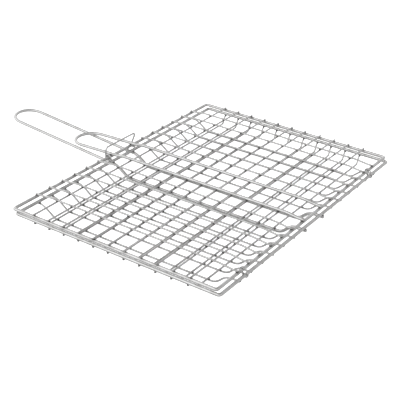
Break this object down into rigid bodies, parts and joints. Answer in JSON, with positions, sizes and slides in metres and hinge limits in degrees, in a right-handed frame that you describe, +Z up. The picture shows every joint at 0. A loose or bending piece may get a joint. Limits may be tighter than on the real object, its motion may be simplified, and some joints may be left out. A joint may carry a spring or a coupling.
{
  "type": "folding grill basket",
  "caption": "Folding double-sided wire grill basket with long looped handles, a hinged lid, a dished tray and a swinging bail latch.",
  "frame": {"origin": "middle of the part's footprint, on the flat surface that it rests on", "axes": "+X from the handles towards the hinge, +Y across the basket, +Z up from the tray to the lid"},
  "size_m": [0.5304, 0.4558, 0.0458],
  "materials": {
    "rim_wire": "bright plated wire",
    "handle_wire": "bright plated wire",
    "grid_wire": "bright plated wire, duller at the welds",
    "hinge_wire": "bright plated wire",
    "latch_wire": "bright plated wire"
  },
  "bodies": {
    "lower_half": {"lower_rim": "rim_wire", "lower_handle": "handle_wire", "lower_long_wire_01": "grid_wire", "lower_long_wire_02": "grid_wire", "lower_long_wire_03": "grid_wire", "lower_long_wire_04": "grid_wire", "lower_long_wire_05": "grid_wire", "lower_long_wire_06": "grid_wire", "lower_long_wire_07": "grid_wire", "lower_long_wire_08": "grid_wire", "lower_long_wire_09": "grid_wire", "lower_long_wire_10": "grid_wire", "lower_long_wire_11": "grid_wire", "lower_long_wire_12": "grid_wire", "lower_cross_wire_01": "grid_wire", "lower_cross_wire_02": "grid_wire", "lower_cross_wire_03": "grid_wire", "lower_cross_wire_04": "grid_wire", "lower_cross_wire_05": "grid_wire", "lower_cross_wire_06": "grid_wire", "lower_cross_wire_07": "grid_wire", "lower_cross_wire_08": "grid_wire", "lower_cross_wire_09": "grid_wire", "lower_cross_wire_10": "grid_wire", "lower_cross_wire_11": "grid_wire"},
    "upper_half": {"upper_rim": "rim_wire", "upper_handle": "handle_wire", "hinge_coil_front": "hinge_wire", "hinge_coil_back": "hinge_wire", "upper_long_wire_01": "grid_wire", "upper_long_wire_02": "grid_wire", "upper_long_wire_03": "grid_wire", "upper_long_wire_04": "grid_wire", "upper_long_wire_05": "grid_wire", "upper_long_wire_06": "grid_wire", "upper_long_wire_07": "grid_wire", "upper_long_wire_08": "grid_wire", "upper_long_wire_09": "grid_wire", "upper_long_wire_10": "grid_wire", "upper_long_wire_11": "grid_wire", "upper_long_wire_12": "grid_wire", "upper_cross_wire_01": "grid_wire", "upper_cross_wire_02": "grid_wire", "upper_cross_wire_03": "grid_wire", "upper_cross_wire_04": "grid_wire", "upper_cross_wire_05": "grid_wire", "upper_cross_wire_06": "grid_wire", "upper_cross_wire_07": "grid_wire", "upper_cross_wire_08": "grid_wire", "upper_cross_wire_09": "grid_wire", "upper_cross_wire_10": "grid_wire", "upper_cross_wire_11": "grid_wire"},
    "latch": {"latch_bail": "latch_wire"}
  },
  "joints": [
    {"name": "lid_hinge", "type": "hinge", "parent": "lower_half", "child": "upper_half", "pos_m": [0.26101, 0, 0.02112], "axis": [0, 1, 0], "range_deg": [0, 165]},
    {"name": "latch_swing", "type": "hinge", "parent": "upper_half", "child": "latch", "pos_m": [-0.06199, 0, 0.02712], "axis": [0, -1, 0], "range_deg": [-40, 28]}
  ]
}
